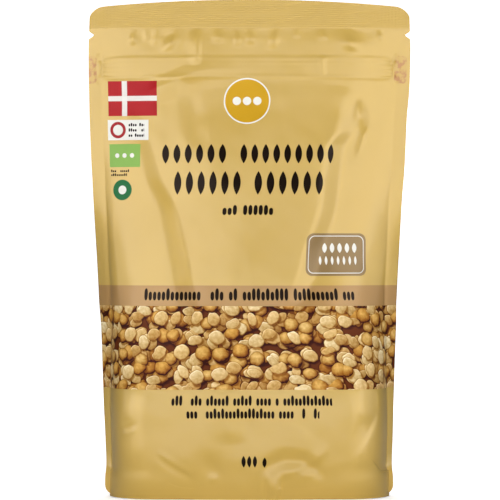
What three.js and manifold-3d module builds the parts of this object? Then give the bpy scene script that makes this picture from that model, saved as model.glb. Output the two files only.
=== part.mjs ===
// A filled stand-up pouch of split peas, sealed at the top and standing on its opened bottom fold.
// The front faces -Y, +Z is up, and the origin is on the table under the middle of the base.
// Lengths are in millimetres. The pouch is one closed solid, because it is sealed and opaque:
// a front wall and a back wall swell apart over the peas and meet in flat sealed strips at the
// sides and the top, and the folded bottom leaves a hollow between its front and back skirts.
import * as THREE from "three";
import { mergeVertices } from "three/addons/utils/BufferGeometryUtils.js";
import Module from "manifold-3d";

// Driving dimensions.
const HEIGHT = 215; // table to the middle of the top edge
const TOP_ARCH = 2; // how much lower the top edge is at its ends than in its middle
const SIDE_SEAL = 6.5; // width of the sealed strip down each side
const TOP_SEAL_FOOT = 202.6; // height at which the ribbed top seal ends
const SEALED = 0.6; // thickness of two films sealed together
const TOP_CORNER = 5; // radius of the two top corners
const FOOT_CORNER = 4; // radius of the bottom corners
const TEAR_NOTCH = { height: 200, depth: 2.4, half: 1.7 }; // the V cut in each side
const ZIP = { foot: 181.3, top: 190.7, sag: 1, proud: 0.55, ridge: 0.5, ridgeHalf: 1.1 };
const BOW = 8; // how far the top corners curl back from the middle of the top
const BOW_FROM = 110; // height at which that curl begins
const BOW_TO = 200;

// Half of the pouch's width at each height. It narrows where the peas push the walls apart.
const HALF_WIDTHS = [
  [0, 61.6], [7, 61.9], [11, 61.9], [17, 61.6], [34, 62.3], [52, 63],
  [86, 64.3], [120, 66], [155, 67.9], [172, 68.6], [198, 69.5], [HEIGHT, 69.5],
];
// How far each wall stands out from the seal plane, in its middle, at each height.
const SWELLS = [
  [0, 24.6], [8, 25.6], [18, 26.2], [35, 25.8], [52, 24.4], [86, 21.6], [120, 17.3],
  [145, 12.2], [160, 8.4], [172, 4.8], [180, 2.1], [186, 1.5], [191, 1.7], [197, 1.4],
  [TOP_SEAL_FOOT, 0.15], [HEIGHT, 0.05],
];
// The two skirts part below this height at the sides, and stand this far apart on the table.
const SKIRTS_MEET = 13;
const SKIRT_SPLAY = 3.6;
const SKIRT = 1.1; // thickness of a skirt, film and seal together

// Long soft folds, each a ridge along a line on a wall, steeper on its inner side.
// from and to are [x, z] as seen from the front, height is how far the ridge stands up.
const FRONT_FOLDS = [
  { from: [-47, 158], to: [-28, 84], height: 2.4, inner: 3, outer: 13 },
  { from: [50, 172], to: [35, 100], height: 2.6, inner: 3, outer: 12 },
  { from: [56, 70], to: [51, 26], height: 0.9, inner: 3, outer: 7 },
  { from: [-55, 78], to: [-53, 24], height: 0.9, inner: 3, outer: 7 },
];
const BACK_FOLDS = [
  { from: [-50, 166], to: [-33, 92], height: 2.3, inner: 3, outer: 12 },
  { from: [46, 160], to: [30, 80], height: 2.5, inner: 3, outer: 13 },
  { from: [-4, 150], to: [6, 108], height: 0.9, inner: 5, outer: 9 },
];
// Shallow round dents in the front and back walls.
const FRONT_DENTS = [
  { at: [20, 18], size: [17, 6], depth: 1.6 },
  { at: [-4, 30], size: [12, 10], depth: 0.8 },
  { at: [0, 166], size: [40, 11], depth: 1.2 },
];
const BACK_DENTS = [
  { at: [-18, 20], size: [18, 7], depth: 1.5 },
  { at: [6, 168], size: [38, 10], depth: 1.1 },
];

// How finely the walls are cut.
const PANEL_COLUMNS = 34;

// A smooth curve through [position, value] pairs that never overshoots them.
function along(stations, at) {
  const last = stations.length - 1;
  if (at <= stations[0][0]) return stations[0][1];
  if (at >= stations[last][0]) return stations[last][1];
  const i = stations.findIndex((s) => s[0] > at) - 1;
  const rise = (k) =>
    (stations[k + 1][1] - stations[k][1]) / (stations[k + 1][0] - stations[k][0]);
  const slope = (k) => {
    if (k === 0) return rise(0);
    if (k === last) return rise(last - 1);
    const [a, b] = [rise(k - 1), rise(k)];
    return a * b <= 0 ? 0 : (2 * a * b) / (a + b);
  };
  const span = stations[i + 1][0] - stations[i][0];
  const t = (at - stations[i][0]) / span;
  const [t2, t3] = [t * t, t * t * t];
  return (
    (2 * t3 - 3 * t2 + 1) * stations[i][1] +
    (t3 - 2 * t2 + t) * span * slope(i) +
    (3 * t2 - 2 * t3) * stations[i + 1][1] +
    (t3 - t2) * span * slope(i + 1)
  );
}

const smooth = (x, from, to) => THREE.MathUtils.smoothstep(x, from, to);

// Half of the width at a height, with the rounded corners and the tear notches taken off.
function halfWidth(z) {
  let half = along(HALF_WIDTHS, z);
  const fromTop = HEIGHT - z;
  if (fromTop < TOP_CORNER)
    half -= TOP_CORNER - Math.sqrt(Math.max(0, TOP_CORNER ** 2 - (TOP_CORNER - fromTop) ** 2));
  if (z < FOOT_CORNER)
    half -= FOOT_CORNER - Math.sqrt(FOOT_CORNER ** 2 - (FOOT_CORNER - z) ** 2);
  const fromNotch = Math.abs(z - TEAR_NOTCH.height) / TEAR_NOTCH.half;
  return half - TEAR_NOTCH.depth * Math.max(0, 1 - fromNotch);
}

// Half of the gap between the walls where the films touch: the film's own thickness, and more
// low down near the sides, where the front and back skirts stand apart.
const filmGap = (panel, z) =>
  SEALED / 2 +
  SKIRT_SPLAY * smooth(Math.abs(panel), 0.4, 1) * Math.max(0, 1 - z / SKIRTS_MEET) ** 1.4;

// How far a wall stands out over the seal plane: a round arc between the two side seals.
// across runs from -1 to 1 between the seals' inner edges.
function arc(across, z) {
  const chord = along(HALF_WIDTHS, z) - SIDE_SEAL;
  const swell = along(SWELLS, z);
  const half = 2 * Math.atan(swell / chord);
  if (half < 1e-3) return swell * (1 - across * across);
  const radius = chord / Math.sin(half);
  return Math.sqrt(radius ** 2 - (across * chord) ** 2) - radius * Math.cos(half);
}

function foldHeight(folds, x, z) {
  let sum = 0;
  for (const fold of folds) {
    const [x0, z0] = fold.from;
    const [x1, z1] = fold.to;
    const length = Math.hypot(x1 - x0, z1 - z0);
    const along01 = ((x - x0) * (x1 - x0) + (z - z0) * (z1 - z0)) / length ** 2;
    const outward = Math.sign(x0 + x1) || 1;
    const off = (outward * ((x - x0) * (z0 - z1) - (z0 - z) * (x1 - x0))) / length;
    const ends = smooth(along01, -0.15, 0.3) * (1 - smooth(along01, 0.65, 1.2));
    const profile = off < 0 ? Math.exp(-((off / fold.inner) ** 2)) : Math.exp(-off / fold.outer);
    sum += fold.height * ends * profile;
  }
  return sum;
}

function dentDepth(dents, x, z) {
  let sum = 0;
  for (const dent of dents) {
    const away = Math.hypot((x - dent.at[0]) / dent.size[0], (z - dent.at[1]) / dent.size[1]);
    sum += dent.depth * Math.exp(-(away ** 2));
  }
  return sum;
}

// The press-to-close strip between the walls shows as a raised band with a ridge at each edge.
function zipHeight(across, z) {
  const foot = ZIP.foot - ZIP.sag * across * across;
  const band = smooth(z, foot - 0.8, foot + 0.4) * (1 - smooth(z, ZIP.top - 0.4, ZIP.top + 0.8));
  const ridge = (at) => Math.max(0, 1 - Math.abs(z - at) / ZIP.ridgeHalf);
  return ZIP.proud * band + ZIP.ridge * (ridge(foot + 1.2) + 0.6 * ridge(ZIP.top - 1.2));
}

// The curl of the top: its middle comes forward and its corners go back.
const curl = (across, z) =>
  BOW * smooth(z, BOW_FROM, BOW_TO) * (across * across - 1 / 3);

// How far a wall stands out from the seal plane. side is -1 for the front and 1 for the back.
function wallOut(x, z, side) {
  const seal = along(HALF_WIDTHS, z) - SIDE_SEAL;
  const panel = THREE.MathUtils.clamp(x / seal, -1, 1);
  const inside = 1 - smooth(Math.abs(panel), 0.9, 1);
  const low = smooth(z, 0, 12);
  const folds = side < 0 ? FRONT_FOLDS : BACK_FOLDS;
  const dents = side < 0 ? FRONT_DENTS : BACK_DENTS;
  const relief = low * (foldHeight(folds, x, z) - dentDepth(dents, x, z)) + zipHeight(panel, z);
  return filmGap(panel, z) + Math.max(0, arc(panel, z) + inside * relief);
}

// A point of a wall. across runs from -1 to 1 over the whole width, seals included.
function wallPoint(across, z, side) {
  const x = across * halfWidth(z);
  const arched = z - TOP_ARCH * across * across * smooth(z, TOP_SEAL_FOOT, HEIGHT);
  return [x, side * wallOut(x, z, side) + curl(across, z), arched];
}

// The heights at which the walls are cut: close together where the outline or the relief turns.
function rowHeights() {
  const rows = [0, 0.6, 1.6, 2.8, 4, 7, 10, SKIRTS_MEET];
  for (let z = 18; z < ZIP.foot - 4; z += 6) rows.push(z);
  const { foot, top, sag } = ZIP;
  rows.push(foot - sag - 1.8, foot - sag, foot, foot + 1.2, foot + 2.6);
  rows.push(top - 2.6, top - 1.2, top, top + 1);
  rows.push(195, TEAR_NOTCH.height - TEAR_NOTCH.half, TEAR_NOTCH.height);
  rows.push(TEAR_NOTCH.height + TEAR_NOTCH.half, TOP_SEAL_FOOT);
  rows.push(206, HEIGHT - TOP_CORNER, 211.6, 213, 214.1, 214.7, HEIGHT);
  return rows;
}

// The column positions across a wall: one strip for each seal, and even steps between them.
function columnsAcross() {
  const sealEdge = 1 - SIDE_SEAL / 66;
  const columns = [-1];
  for (let i = 0; i <= PANEL_COLUMNS; i++)
    columns.push(sealEdge * Math.sin(((i / PANEL_COLUMNS) * 2 - 1) * 1.25) / Math.sin(1.25));
  columns.push(1);
  return columns;
}

// The pouch without the hollow under it, as points and triangles: two walls, the thin edge
// round them, and a flat base.
function outerBody() {
  const rows = rowHeights();
  const columns = columnsAcross();
  const [m, n] = [columns.length, rows.length];
  const points = [];
  for (const side of [-1, 1])
    for (const z of rows) for (const across of columns) points.push(...wallPoint(across, z, side));
  const front = (j, i) => j * m + i;
  const back = (j, i) => (n + j) * m + i;
  const faces = [];
  const quad = (a, b, c, d) => faces.push(a, b, c, a, c, d);
  for (let j = 0; j < n - 1; j++) {
    for (let i = 0; i < m - 1; i++) {
      quad(front(j, i), front(j, i + 1), front(j + 1, i + 1), front(j + 1, i));
      quad(back(j, i + 1), back(j, i), back(j + 1, i), back(j + 1, i + 1));
    }
    quad(back(j, 0), front(j, 0), front(j + 1, 0), back(j + 1, 0));
    quad(front(j, m - 1), back(j, m - 1), back(j + 1, m - 1), front(j + 1, m - 1));
  }
  for (let i = 0; i < m - 1; i++) {
    quad(back(0, i), back(0, i + 1), front(0, i + 1), front(0, i));
    quad(front(n - 1, i), front(n - 1, i + 1), back(n - 1, i + 1), back(n - 1, i));
  }
  return { points, faces };
}

// The hollow under the bottom fold. The film leaves each skirt at the height that CEILING gives
// for a distance from the middle, and sinks to the table in a broad belly between the skirts.
const CEILING = [[0, 5], [28, 6], [40, 12], [48, 20], [53, 16], [57, 11.5], [66, 11]];
const BELLY = [[0, -0.8], [30, -0.8], [40, 5], [48, 15], [53, 14], [57, 10], [66, 9.6]];
const BELLY_EDGE = [0.5, 0.95]; // where the belly starts and stops rising, as shares of the depth
const HOLLOW_BELOW = 3; // how far the cut starts under the table
const HOLLOW_END = 66;
const HOLLOW_COLUMNS = 36;
const HOLLOW_LEVELS = 6;
const HOLLOW_STEPS = 11;
const SLIT = 0.12; // half of the gap left where the skirts touch

// The outline of the hollow across the pouch at x, up inside the front skirt, over the bottom
// fold and down inside the back skirt, as [y, z] pairs.
function hollowSection(x) {
  const ceiling = along(CEILING, Math.abs(x));
  const belly = along(BELLY, Math.abs(x));
  const inside = (z, side) => Math.max(SLIT, wallOut(x, z, side) - SKIRT);
  const skirt = (side) => {
    const line = [[side * inside(0, side), -HOLLOW_BELOW]];
    for (let k = 0; k < HOLLOW_LEVELS; k++) {
      const z = (ceiling * k) / HOLLOW_LEVELS;
      line.push([side * inside(z, side), z]);
    }
    return line;
  };
  const roof = [];
  for (let k = 0; k <= HOLLOW_STEPS; k++) {
    const r = Math.sin((k / HOLLOW_STEPS - 0.5) * 2.4) / Math.sin(1.2);
    const rise = smooth(Math.abs(r), ...BELLY_EDGE);
    const depth = inside(ceiling, Math.sign(r) || 1);
    roof.push([r * depth, belly + (ceiling - belly) * rise]);
  }
  return [...skirt(-1), ...roof, ...skirt(1).reverse()];
}

function hollow() {
  const points = [];
  const faces = [];
  const quad = (a, b, c, d) => faces.push(a, b, c, a, c, d);
  let n = 0;
  for (let i = 0; i <= HOLLOW_COLUMNS; i++) {
    const x = (HOLLOW_END * Math.sin((i / HOLLOW_COLUMNS - 0.5) * 2.6)) / Math.sin(1.3);
    const section = hollowSection(x);
    n = section.length;
    for (const [y, z] of section) points.push(x, y, z);
  }
  for (let i = 0; i < HOLLOW_COLUMNS; i++)
    for (let k = 0; k < n; k++) {
      const next = (k + 1) % n;
      quad(i * n + k, (i + 1) * n + k, (i + 1) * n + next, i * n + next);
    }
  const end = HOLLOW_COLUMNS * n;
  for (let k = 0; k < n / 2 - 1; k++) {
    const [low, high] = [n - 1 - k, n - 2 - k];
    quad(k, k + 1, high, low);
    quad(end + k, end + low, end + high, end + k + 1);
  }
  return { points, faces };
}

const wasm = await Module();
wasm.setup();

function solid({ points, faces }) {
  const raw = new THREE.BufferGeometry()
    .setAttribute("position", new THREE.Float32BufferAttribute(points, 3))
    .setIndex(faces);
  const merged = mergeVertices(raw, 1e-4);
  return new wasm.Manifold(
    new wasm.Mesh({
      numProp: 3,
      vertProperties: merged.attributes.position.array,
      triVerts: new Uint32Array(merged.index.array),
    }),
  );
}

function geometryOf(made) {
  const mesh = made.getMesh();
  const geometry = new THREE.BufferGeometry()
    .setAttribute("position", new THREE.BufferAttribute(mesh.vertProperties, 3))
    .setIndex(new THREE.BufferAttribute(mesh.triVerts, 1));
  geometry.computeVertexNormals();
  return geometry;
}

const film = new THREE.MeshStandardMaterial({ color: 0xd9b66c, roughness: 0.4, metalness: 0.35 });
const pouch = new THREE.Mesh(geometryOf(solid(outerBody()).subtract(solid(hollow()))), film);
pouch.name = "pouch";

const part = new THREE.Group();
part.add(pouch);
export default part;
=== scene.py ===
"""A sealed stand-up pouch of dried split peas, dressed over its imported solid.

Lengths are worked out in millimetres and go into the meshes in metres. The front faces -Y, +Z is
up, and the origin is on the table under the middle of the base. Places on the printed film are
given as (across, up) in millimetres from the middle of the flat film and from its lower edge.
"""

import math
from typing import NamedTuple

import bpy
import numpy as np
from bpy.props import FloatProperty, FloatVectorProperty, PointerProperty
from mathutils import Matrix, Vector


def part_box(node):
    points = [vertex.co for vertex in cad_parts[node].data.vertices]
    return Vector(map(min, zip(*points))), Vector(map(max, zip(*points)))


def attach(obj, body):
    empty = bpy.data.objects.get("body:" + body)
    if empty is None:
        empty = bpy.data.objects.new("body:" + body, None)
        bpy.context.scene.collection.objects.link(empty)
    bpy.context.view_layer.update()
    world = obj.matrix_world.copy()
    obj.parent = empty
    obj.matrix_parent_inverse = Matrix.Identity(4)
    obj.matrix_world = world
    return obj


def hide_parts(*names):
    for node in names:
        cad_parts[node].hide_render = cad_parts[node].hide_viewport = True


bl_info = {
    "name": "Split Pea Pouch",
    "version": (1, 0, 0),
    "blender": (4, 5, 0),
    "location": "View3D > Sidebar > Pouch",
    "description": "Builds a sealed stand-up pouch of split peas with its printed film",
    "category": "Object",
}

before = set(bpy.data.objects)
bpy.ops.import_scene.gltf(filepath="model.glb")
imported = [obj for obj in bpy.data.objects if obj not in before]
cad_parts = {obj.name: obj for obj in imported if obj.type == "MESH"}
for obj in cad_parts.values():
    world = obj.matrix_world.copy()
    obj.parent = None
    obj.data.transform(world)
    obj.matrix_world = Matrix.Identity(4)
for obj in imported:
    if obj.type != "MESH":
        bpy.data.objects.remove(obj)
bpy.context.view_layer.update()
MM = 0.001
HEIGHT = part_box("pouch")[1].z / MM
TOP_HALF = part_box("pouch")[1].x / MM

# ---------------------------------------------------------------- the pouch's form

FLAT_HALF = 70.0  # half of the width of the flat film
TOP_SEAL_FOOT = 202.6
TOP_ARCH, FOOT_ARCH, FOOT_ARCH_TOP = 3.0, 1.05, 20.0  # the top's ends drop, the foot's rise
TOP_CORNER, FOOT_CORNER = 6.0, 4.0  # radii
NOTCH_HEIGHT, NOTCH_DEPTH, NOTCH_HALF = 200.0, 2.6, 1.6
BOW, BOW_FROM, BOW_TO = 8.0, 110.0, 200.0  # the top bends round in plan, its ends to the back
SEALED = 0.6  # thickness of the two films at a seal
LEAST_SEAL = 0.3
FILM = 0.26  # thickness of one film, drawn twice as thick as the real one so that its edge shows
SKIRTS_MEET, SKIRT_SPLAY, SPLAY_CURVE = 13.0, 3.6, 1.4  # below the first the skirts stand apart

# The press-to-close strip, and the heights of its band, its edges' ridges and its line.
ZIP_FOOT, ZIP_TOP, ZIP_SAG = 180.9, 190.3, 0.6
ZIP_BAND, ZIP_TOP_RIDGE, ZIP_LINE, ZIP_FOOT_RIDGE = 0.14, 0.03, 0.035, 0.1
# Where its ends are crushed: an eye of this half width and height, with a groove round it.
ZIP_ENDS = (-65.2, 63.6)
EYE_HALVES, EYE_SWELL, EYE_GROOVE = (1.3, 4.7), 0.3, 0.5
# The creases that fan out from an eye: height, how soon they fade, pitch and how it widens.
FAN_HEIGHT, FAN_REACH, FAN_PITCH, FAN_SPREAD = 0.22, 3.5, 1.7, 0.06

# The top seal's ribs. Towards its ends others cross them, lower and further apart.
RIB_PITCH, RIB_HEIGHT = 0.95, 0.07
CROSS_FROM, CROSS_TO, CROSS_HEIGHT, CROSS_PITCH = 38, 56, 0.6, 1.6

# Over what lengths folds fade: the belly's and the strip's at the side seals, and all at the foot.
BELLY_FADE, TOP_FADE, FOOT_FADE = 7, 5, 12
FOLD_NEAR = 6  # how far from its line a fold's distance is measured square to it
PRESSED = 0.15  # how far folds can press the walls together
# Uneven film: seed, how many waves, their length and their height.
FILM_WAVES = [(20, 9, 34, 0.16), (30, 14, 11, 0.035)]

# Half of the width, and how far each wall stands out in its middle, as (height, length) stations.
HALF_WIDTHS = [
    (0, 62.3), (6.7, 62.4), (13, 62), (24, 62.4), (41, 63.1), (67, 64), (85, 64.8), (111, 66.1),
    (128, 67), (145, 68.1), (163, 68.9), (180, 69.8), (193, 70), (206, 69.7), (HEIGHT, TOP_HALF),
]
# How far the film's middle line stands to the side of upright.
SWAYS = [(0, -0.2), (24, -0.2), (41, -0.4), (72, -0.45), (85, -0.85), (128, -0.85),
         (140, -0.65), (163, -0.6), (175, -0.2), (193, 0)]
SWELLS = [
    (0, 24.6), (8, 25.6), (18, 26.2), (35, 25.6), (52, 23.8), (86, 19.8), (107, 16.4), (120, 14.4),
    (145, 10.2), (160, 7.2), (172, 4.5), (180, 2.7), (186, 2.1), (191, 1.6), (197, 0.9),
    (TOP_SEAL_FOOT, 0.15), (HEIGHT, 0.05),
]

# How wide the side seals look from the front. Low down they turn to the back.
SIDE_SEALS = [(0, 2.4), (30, 2.8), (60, 4.2), (95, 5.6), (HEIGHT, 5.6)]

# How full the wall is from side to side, where 2 would be a round bulge, and how abruptly it ends
# at the left seal and, softer, at the right one.
FULLNESS = [(0, 4.5), (10, 8), (24, 10), (38, 10), (56, 5.5), (85, 3.1), (130, 2.5), (HEIGHT, 2.2)]
LEFT_END = [(0, 0.6), (60, 0.6), (100, 0.65), (135, 0.85), (170, 1)]
RIGHT_END = [(0, 0.6), (45, 0.6), (90, 0.9), (120, 1), (170, 1)]

# How far the side seals lean back, as (height, slope) stations. The right one leans less, by a
# share that grows between two heights.
LEANS = [(0, -0.1), (8, 0.1), (18, 1.3), (60, 1.8), (100, 1.5), (125, 0.6), (150, 0.15), (170, 0)]
LEAN_ROUNDING = 1.2
RIGHT_LOSS, LOSS_FROM, LOSS_TO = 0.45, 40, 90


class Fold(NamedTuple):
    """A fold of the film.

    line gives x at each height, or the height at each x for a lying fold. section gives the film's
    height at distances from the line, as straight slopes with corners rounded by "rounding".
    Distances count towards the nearer side seal, or upwards for a lying fold. strength scales it.
    A fold with edge set runs on to the skirt's edge.
    """

    line: list
    section: list
    strength: list
    rounding: float
    lying: bool = False
    edge: bool = False


FRONT_FOLDS = [
    # The long creases left and right, where the flat upper film folds into the full belly.
    Fold([(70, -25), (81, -27), (92, -29.5), (107, -32.3), (124, -36.5), (137, -43), (155, -48),
          (168, -52)],
         [(-32, 0), (-5.0, -3.1), (-0.7, -0.3), (1.2, 0.2), (18, 0)],
         [(56, 0), (78, 1), (95, 1.1), (110, 1), (125, 0.8), (140, 0.6), (155, 0.3), (168, 0)],
         0.35),
    Fold([(82, 24), (95, 29.5), (106.6, 33.1), (117.3, 37.5), (125.9, 39.7), (134.6, 40.6),
          (149.8, 42.6), (158.4, 47), (164.8, 47.6), (173, 50)],
         [(-32, 0), (-8.5, 1.7), (-1, -1.7), (1.6, -1.5), (14, -0.1), (22, 0)],
         [(78, 0), (95, 0.8), (110, 1), (150, 1), (160, 0.8), (172, 0.3), (178, 0)], 0.5),
    # Soft pulls below the strip.
    Fold([(150, -22), (181, -27)],
         [(-7, 0), (0, -0.8), (4, 0.3), (11, 0)],
         [(148, 0), (166, 1), (178, 0.7), (181, 0)], 0.8),
    Fold([(152, 17), (181, 11)],
         [(-5, 0), (0, -0.4), (1.5, 0.1), (6, 0)],
         [(152, 0), (168, 1), (178, 0.6), (181, 0)], 0.8),
    # A beak of film in the right crease, and the crumpled edge next to the left seal.
    Fold([(147, 48), (159, 51.5)],
         [(-2.2, 0), (-0.5, 0.7), (0.8, 0.1), (2, 0)],
         [(146, 0), (150, 0.7), (156, 1), (160, 0)], 0.3),
    Fold([(88, -56.6), (100, -57.3), (110, -58.6), (126, -59.4)],
         [(-1.6, 0), (-0.4, 0.7), (0.4, -0.2), (1.6, 0)],
         [(86, 0), (92, 0.8), (99, 0.5), (103, 0.2), (109, 1), (120, 0.9), (127, 0)], 0.25),
    # The fold low on the right, and a faint one left of the middle.
    Fold([(18, 46), (30.8, 53.7), (37.2, 56.5), (47, 55.5)],
         [(-9, 0), (-1.4, -1.0), (0, -0.1), (2, 0)],
         [(16, 0), (24, 0.4), (33, 1), (42, 1), (49, 0)], 0.3),
    Fold([(26, -8), (36, -9.5), (50, -10)],
         [(-9, 0), (0, 0.9), (10, 0)],
         [(24, 0), (31, 1), (42, 1), (52, 0)], 0.5),
    # Wrinkles that the filling presses into the foot.
    Fold([(5, 18), (10, 20.6), (16, 22.1), (22.5, 21.4), (32, 16.8)],
         [(-10, 0), (-5, -1.4), (0, 0.05), (2, 0)],
         [(4, 0), (9, 0.7), (18, 1), (26, 0.9), (33, 0)], 0.4, lying=True),
    Fold([(10, 8.8), (20, 13.8), (27, 17.3), (34, 22)],
         [(-3, 0), (-0.6, 0.4), (0.8, 0.2), (3, 0)],
         [(9, 0), (14, 0.8), (28, 1), (35, 0)], 0.35, lying=True),
    Fold([(19, 8.5), (27, 12), (35, 15)],
         [(-3, 0), (-0.5, 0.25), (0.6, 0.05), (2.5, 0)],
         [(18, 0), (23, 0.9), (31, 0.8), (36, 0)], 0.35, lying=True),
    Fold([(-39, 19), (-30, 13.2), (-25, 10.5)],
         [(-3, 0), (-0.5, -0.35), (0.4, 0.2), (3, 0)],
         [(-40, 0), (-36, 1), (-29, 0.8), (-24, 0)], 0.25, lying=True),
    Fold([(-57, 28), (-48, 31)],
         [(-2, 0), (-0.5, 0.5), (0.6, -0.3), (2, 0)],
         [(-58, 0), (-54, 1), (-50, 0.8), (-47, 0)], 0.25, lying=True),
    Fold([(-57, 31.5), (-50, 33)],
         [(-1.6, 0), (-0.4, 0.45), (0.5, -0.2), (1.6, 0)],
         [(-58, 0), (-55, 1), (-52, 0.8), (-49, 0)], 0.25, lying=True),
    # The pinch in the skirt's edge.
    Fold([(0, 10), (12, 10.2)],
         [(-5, 0), (-2.8, -0.5), (-2.3, 0.2), (2.2, 1.7), (2.8, 0.2), (7, 0)],
         [(0, 1), (5, 0.9), (9, 0.4), (11.5, 0)], 0.2, edge=True),
]
# Ridges between the belly and the top seal, across the press-to-close strip.
TOP_RIDGES = [
    Fold([(188, -22.3), (203, -22)],
         [(-1.3, 0), (0, 1.1), (4.6, 0.05), (6, 0)],
         [(186.5, 0), (190.5, 1), (199, 0.7), (TOP_SEAL_FOOT, 0)], 0.2),
    Fold([(-46, 180.2), (-44, 180.8), (-33, 185.2), (-22, 189.5), (-14, 190.5)],
         [(-14, 0), (-5.5, 1.05), (-0.4, 0.02), (1, 0)],
         [(-47, 0), (-41, 0.7), (-33, 1), (-22, 0.8), (-8, 0.25), (4, 0)], 0.3, lying=True),
    Fold([(168, 47), (181, 49.5), (190, 50.2), (203, 47)],
         [(-34, 0), (-12, 0.7), (0, 0.75), (8, 0), (9, 0)],
         [(160, 0), (176, 0.8), (188, 1), (195, 1), (TOP_SEAL_FOOT, 0)], 0.4),
    Fold([(183, 32.2), (191, 31.6)],
         [(-1.4, 0), (0, 0.6), (0.9, 0)],
         [(182, 0), (184, 1), (189, 0.9), (191, 0)], 0.15),
]
# Pleats that hang from the top seal: where, how far each reaches down and leans, and its width.
TOP_PLEATS = [
    (-50, 8, -1.0, 2.6), (-45, 6, 0.6, 2.0), (-40, 8, -1.0, 2.6), (-30.5, 11, -6.0, 4.6),
    (-14, 7, 0.8, 4.0), (-5.6, 9, 0.6, 2.4), (0, 8, 0.4, 3.2), (11.4, 10, -1.6, 3.6),
    (20, 5, 0.5, 2.0), (31, 6, 0.8, 3.0), (41, 11, 4.0, 7.0), (56, 6, 1.0, 2.0),
]
PLEAT_SLOPE, PLEAT_SHARPNESS = 0.17, 1.8
BACK_FOLDS = [
    Fold([(92, -33), (130, -43), (166, -50)],
         [(-30, 0), (-4.5, -2.4), (0, -1.0), (13, -0.2), (18, 0)],
         [(70, 0), (105, 1), (150, 0.9), (172, 0)], 0.8),
    Fold([(80, 30), (120, 38), (160, 46)],
         [(-28, 0), (-4, -2.2), (0, -0.8), (14, -0.1), (22, 0)],
         [(60, 0), (95, 1), (145, 0.9), (170, 0)], 0.8),
]
# Dents: where they are, how far they reach along and across, their turn in degrees and their depth.
FRONT_DENTS = [
    ((-2, 32), (9, 10), 0, 0.5), ((-16.5, 14), (4, 5), 20, 0.7), ((-15, 9), (1.6, 1.6), 0, -0.4),
    ((-52, 31), (3, 2.5), 0, 0.5), ((48.5, 165), (2.2, 5), 15, 1.1), ((0, 168), (40, 9), 0, 0.9),
]
BACK_DENTS = [((-18, 20), (18, 7), 0, 1.5), ((6, 168), (38, 10), 0, 1.1)]


def along(stations, at):
    """A smooth curve through (position, value) stations that never overshoots them.

    It is a cubic Hermite curve, whose slope at a station is the harmonic mean of its neighbours'.
    """
    place, value = np.array(stations, float).T
    rise = np.diff(value) / np.diff(place)
    product = rise[:-1] * rise[1:]
    total = np.where(product > 0, rise[:-1] + rise[1:], 1)
    inner = np.where(product > 0, 2 * product / total, 0)
    slope = np.concatenate([rise[:1], inner, rise[-1:]])
    at = np.clip(at, place[0], place[-1])
    i = np.clip(np.searchsorted(place, at, "right") - 1, 0, len(place) - 2)
    span = place[i + 1] - place[i]
    t = (at - place[i]) / span
    return (
        (2 * t**3 - 3 * t**2 + 1) * value[i]
        + (t**3 - 2 * t**2 + t) * span * slope[i]
        + (3 * t**2 - 2 * t**3) * value[i + 1]
        + (t**3 - t**2) * span * slope[i + 1]
    )


def smooth(x, low, high):
    """0 below low, 1 above high, and 3t^2 - 2t^3 between them."""
    t = np.clip((x - low) / (high - low), 0, 1)
    return t * t * (3 - 2 * t)


def bell(distance, width):
    """exp(-(distance / width)^2)."""
    return np.exp(-((distance / width) ** 2))


def half_width(z):
    """Half of the outline's width at a height, with round corners and a V for the tear notch."""
    half = along(HALF_WIDTHS, z)
    into_top = np.clip(TOP_CORNER - (HEIGHT - z), 0, TOP_CORNER)
    into_foot = np.clip(FOOT_CORNER - z, 0, FOOT_CORNER)
    half = half - TOP_CORNER + np.sqrt(TOP_CORNER**2 - into_top**2)
    half = half - FOOT_CORNER + np.sqrt(FOOT_CORNER**2 - into_foot**2)
    return half - NOTCH_DEPTH * np.clip(1 - np.abs(z - NOTCH_HEIGHT) / NOTCH_HALF, 0, 1)


def seal_line(z):
    """Where a wall meets the side seal."""
    return along(HALF_WIDTHS, z) - along(SIDE_SEALS, z)


def belly(panel, z):
    """How far a wall stands out between the side seals: (1 - p^n)^m of its middle's height.

    A greater n, the fullness, is flatter in the middle. A smaller m is steeper at the seals.
    """
    end = np.where(panel < 0, along(LEFT_END, z), along(RIGHT_END, z))
    return along(SWELLS, z) * (1 - np.abs(panel) ** along(FULLNESS, z)) ** end


def film_gap(panel, z):
    """Half of the gap between walls that touch. Low down at the sides the skirts stand apart."""
    splay = np.clip(1 - z / SKIRTS_MEET, 0, 1) ** SPLAY_CURVE
    return SEALED / 2 + SKIRT_SPLAY * smooth(np.abs(panel), 0.4, 1) * splay


def rounded_chain(corners, at, radius):
    """A chain of straight slopes through (place, height) corners, level beyond its ends.

    Each corner bends the slope with a soft ramp, radius * log(1 + exp(distance / radius)).
    """
    place, height = np.array(corners, float).T
    slope = np.concatenate([[0], np.diff(height) / np.diff(place), [0]])
    total = np.full_like(at, height[0])
    for corner, bend in zip(place, np.diff(slope)):
        total += bend * radius * np.logaddexp(0, (at - corner) / radius)
    return total


def fold_height(folds, x, z):
    """Sum of the folds: each carries its section along its line, square to it near the line.

    There a distance along x or z is divided by sqrt(1 + slant^2).
    """
    total = np.zeros_like(x)
    for fold in folds:
        way, across = (x, z) if fold.lying else (z, x)
        middle = along(fold.line, way)
        slant = along(fold.line, way + 0.5) - along(fold.line, way - 0.5)
        side = 1 if fold.lying else np.sign(middle)
        gap = across - middle
        off = side * gap / np.sqrt(1 + slant**2 * bell(gap, FOLD_NEAR))
        total += along(fold.strength, way) * rounded_chain(fold.section, off, fold.rounding)
    return total


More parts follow.
